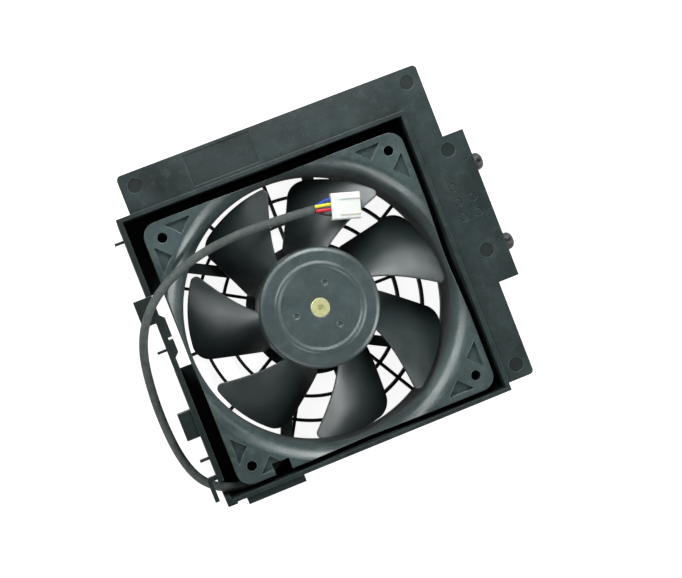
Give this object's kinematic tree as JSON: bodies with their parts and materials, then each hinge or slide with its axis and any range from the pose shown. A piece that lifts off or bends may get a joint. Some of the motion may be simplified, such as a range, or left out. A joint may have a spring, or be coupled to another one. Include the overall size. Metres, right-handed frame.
{
  "type": "drive cage fan assembly",
  "caption": "Square axial fan in a moulded drive-cage holder with an L-shaped flange, rubber bumpers, a side latch arm, a finger guard and a sleeved lead with a plug.",
  "frame": {"origin": "on the fan axis, at the back face of the holder and its finger guard", "axes": "+Z along the fan axis towards the air inlet; +X towards the flange that carries the bumpers; +Y towards the wide upper flange"},
  "size_m": [0.1736, 0.1505, 0.0506],
  "materials": {
    "holder_plastic": "fine moulded grain, charcoal",
    "guard_plastic": "fine moulded grain, black",
    "housing_plastic": "glass-filled, satin, dark grey",
    "impeller_plastic": "satin, near black",
    "bumper_rubber": "soft, mottled grey",
    "screw_steel": "black oxide",
    "bearing_steel": "ground",
    "shaft_steel": "ground",
    "yoke_steel": "plated, dull",
    "magnet": "bonded ferrite",
    "brass": "turned",
    "insulator": "moulded, cream",
    "winding": "enamelled copper",
    "board": "solder mask",
    "board_part": "moulded",
    "cable": "woven sleeve, grey",
    "wire_black": "extruded",
    "wire_red": "extruded",
    "wire_yellow": "extruded",
    "wire_blue": "extruded",
    "plug_plastic": "moulded, white",
    "contact": "tinned"
  },
  "bodies": {
    "holder": {"holder_frame": "holder_plastic", "side_bumpers": "bumper_rubber", "finger_guard": "guard_plastic", "fan_housing": "housing_plastic", "fan_screws": "screw_steel", "bearing_tube": "brass", "front_bearing_outer": "bearing_steel", "rear_bearing_outer": "bearing_steel", "rear_cap": "housing_plastic", "stator_core": "yoke_steel", "stator_insulator": "insulator", "coil_windings": "winding", "circuit_board": "board", "board_parts": "board_part", "cable_sleeve": "cable", "lead_black": "wire_black", "lead_red": "wire_red", "lead_yellow": "wire_yellow", "lead_blue": "wire_blue", "plug_housing": "plug_plastic", "plug_contacts": "contact"},
    "rotor": {"impeller": "impeller_plastic", "rotor_yoke": "yoke_steel", "magnet_ring": "magnet", "shaft_bush": "brass", "rotor_shaft": "shaft_steel", "retaining_clip": "shaft_steel", "preload_spring": "shaft_steel", "front_bearing_inner": "bearing_steel", "rear_bearing_inner": "bearing_steel"},
    "latch": {"latch_arm": "holder_plastic"}
  },
  "joints": [
    {"name": "rotor_spin", "type": "hinge", "parent": "holder", "child": "rotor", "pos_m": [0, 0, 0.02], "axis": [0, 0, 1], "continuous": true},
    {"name": "latch_flex", "type": "hinge", "parent": "holder", "child": "latch", "pos_m": [-0.067, -0.0021, 0.0335], "axis": [0, 0, -1], "range_deg": [0, 4], "stiffness_Nm_per_rad": 2}
  ]
}
